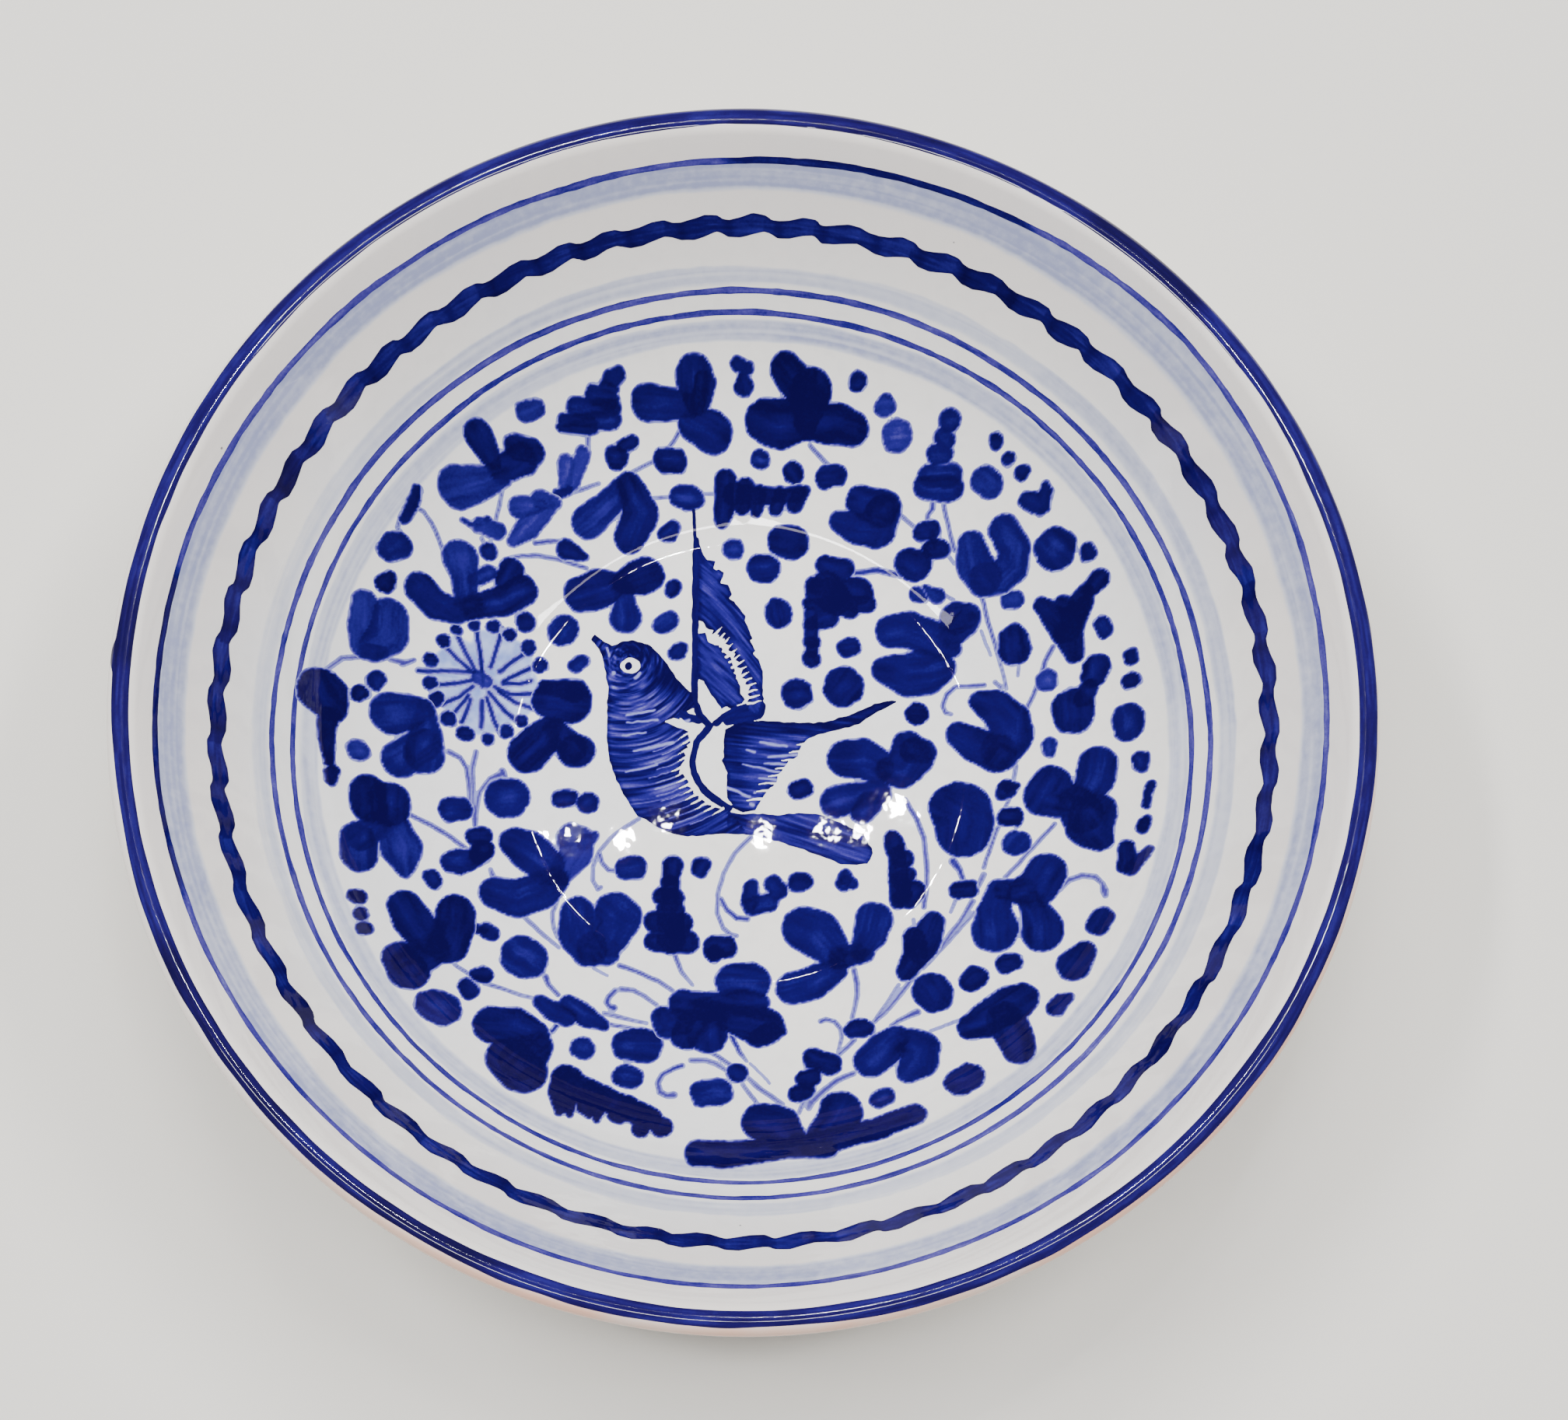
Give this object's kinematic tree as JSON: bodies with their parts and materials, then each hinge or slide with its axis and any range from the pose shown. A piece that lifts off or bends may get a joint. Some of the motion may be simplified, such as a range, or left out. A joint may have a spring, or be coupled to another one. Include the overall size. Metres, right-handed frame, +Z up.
{
  "type": "hand painted earthenware bowl",
  "caption": "Deep round serving bowl with a flared wall and a foot ring, white glazed and painted inside in cobalt with bands and a bird.",
  "frame": {"origin": "on the table, at the middle of the foot ring", "axes": "+Z up along the bowl's axis of turning; +Y towards the top of the painted picture, +X to its right"},
  "size_m": [0.3, 0.3, 0.0841],
  "materials": {
    "terracotta": "matt fired clay",
    "white_glaze": "glossy",
    "cobalt": "glossy",
    "pale_wash": "glossy"
  },
  "bodies": {
    "root": {"clay_body": "terracotta", "foot_ring": "terracotta", "glaze_inside": "white_glaze", "glaze_outside": "white_glaze", "glaze_base": "white_glaze", "rim_band": "cobalt", "outer_line": "cobalt", "outer_wash": "pale_wash", "wave_band": "cobalt", "upper_wash": "pale_wash", "upper_line": "cobalt", "lower_line": "cobalt", "inner_wash": "pale_wash", "bird": "cobalt"}
  },
  "joints": []
}
